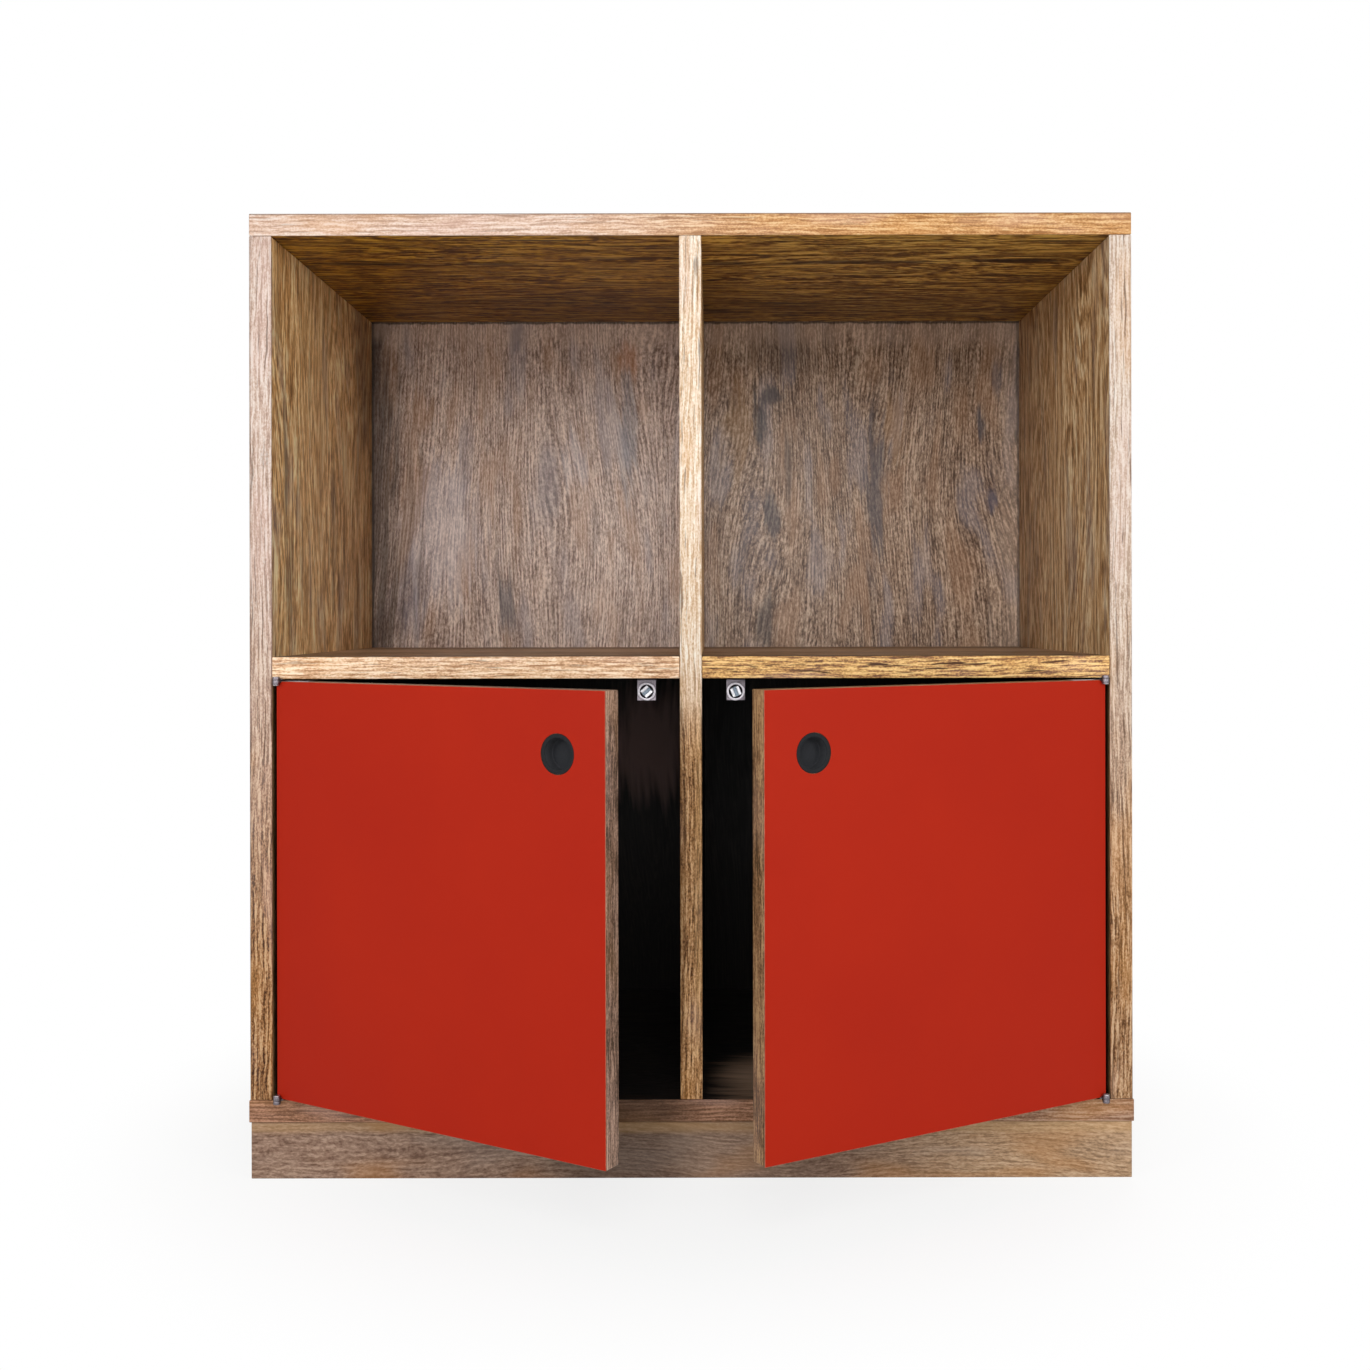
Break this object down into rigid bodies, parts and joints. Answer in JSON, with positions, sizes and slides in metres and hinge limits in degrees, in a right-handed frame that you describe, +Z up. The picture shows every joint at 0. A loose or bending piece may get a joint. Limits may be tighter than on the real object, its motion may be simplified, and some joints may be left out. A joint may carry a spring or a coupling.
{
  "type": "credenza",
  "caption": "Square cabinet on a plinth with open upper compartments over inset red doors on corner pivot hinges, with magnetic catches.",
  "frame": {"origin": "floor level, in the middle of the cabinet's footprint, on the underside of the plinth's middle bearer", "axes": "+X to the viewer's right along the front, +Y from the front to the back, +Z up"},
  "size_m": [0.8024, 0.6195, 0.876],
  "materials": {
    "lying_wood": "dark oak veneer, horizontal grain, satin lacquer",
    "standing_wood": "dark oak veneer, vertical grain, satin lacquer",
    "back_wood": "dark stained oak veneer, satin",
    "plinth_wood": "dark oak veneer, worn matt",
    "door_wood": "dark oak veneer on edges and back, satin",
    "red_laminate": "high-pressure laminate, fine satin",
    "black_plastic": "moulded, satin",
    "bright_steel": "bright zinc plate",
    "ferrite": "sintered, matt"
  },
  "bodies": {
    "carcass": {"back_panel": "back_wood", "bottom_board": "lying_wood", "divider": "standing_wood", "left_catch_bracket": "bright_steel", "left_catch_cup": "bright_steel", "left_catch_screw": "bright_steel", "left_lower_hinge_carcass_leaf": "bright_steel", "left_lower_hinge_carcass_leaf_screw_1": "bright_steel", "left_lower_hinge_carcass_leaf_screw_2": "bright_steel", "left_lower_hinge_pin": "bright_steel", "left_shelf": "lying_wood", "left_side": "standing_wood", "left_upper_hinge_carcass_leaf": "bright_steel", "left_upper_hinge_carcass_leaf_screw_1": "bright_steel", "left_upper_hinge_carcass_leaf_screw_2": "bright_steel", "left_upper_hinge_pin": "bright_steel", "plinth_back": "plinth_wood", "plinth_bearer": "plinth_wood", "plinth_front": "plinth_wood", "plinth_left": "plinth_wood", "plinth_right": "plinth_wood", "right_catch_bracket": "bright_steel", "right_catch_cup": "bright_steel", "right_catch_screw": "bright_steel", "right_lower_hinge_carcass_leaf": "bright_steel", "right_lower_hinge_carcass_leaf_screw_1": "bright_steel", "right_lower_hinge_carcass_leaf_screw_2": "bright_steel", "right_lower_hinge_pin": "bright_steel", "right_shelf": "lying_wood", "right_side": "standing_wood", "right_upper_hinge_carcass_leaf": "bright_steel", "right_upper_hinge_carcass_leaf_screw_1": "bright_steel", "right_upper_hinge_carcass_leaf_screw_2": "bright_steel", "right_upper_hinge_pin": "bright_steel", "top_board": "lying_wood"},
    "left_door": {"left_door_laminate": "red_laminate", "left_door_panel": "door_wood", "left_finger_cup": "black_plastic", "left_lower_hinge_door_leaf": "bright_steel", "left_lower_hinge_door_leaf_screw_1": "bright_steel", "left_lower_hinge_door_leaf_screw_2": "bright_steel", "left_strike_plate": "bright_steel", "left_upper_hinge_door_leaf": "bright_steel", "left_upper_hinge_door_leaf_screw_1": "bright_steel", "left_upper_hinge_door_leaf_screw_2": "bright_steel"},
    "right_door": {"right_door_laminate": "red_laminate", "right_door_panel": "door_wood", "right_finger_cup": "black_plastic", "right_lower_hinge_door_leaf": "bright_steel", "right_lower_hinge_door_leaf_screw_1": "bright_steel", "right_lower_hinge_door_leaf_screw_2": "bright_steel", "right_strike_plate": "bright_steel", "right_upper_hinge_door_leaf": "bright_steel", "right_upper_hinge_door_leaf_screw_1": "bright_steel", "right_upper_hinge_door_leaf_screw_2": "bright_steel"},
    "left_magnet": {"left_catch_yoke": "bright_steel", "left_catch_magnet": "ferrite"},
    "right_magnet": {"right_catch_yoke": "bright_steel", "right_catch_magnet": "ferrite"}
  },
  "joints": [
    {"name": "left_door_hinge", "type": "hinge", "parent": "carcass", "child": "left_door", "pos_m": [-0.375, -0.2186, 0.263], "axis": [0, 0, -1], "range_deg": [-31.5, 148.5]},
    {"name": "right_door_hinge", "type": "hinge", "parent": "carcass", "child": "right_door", "pos_m": [0.375, -0.2186, 0.263], "axis": [0, 0, 1], "range_deg": [-30.2, 149.8]},
    {"name": "left_magnet_turn", "type": "hinge", "parent": "carcass", "child": "left_magnet", "pos_m": [-0.041, -0.1951, 0.4411], "axis": [0, 1, 0], "continuous": true},
    {"name": "right_magnet_turn", "type": "hinge", "parent": "carcass", "child": "right_magnet", "pos_m": [0.041, -0.1951, 0.4411], "axis": [0, 1, 0], "continuous": true}
  ]
}
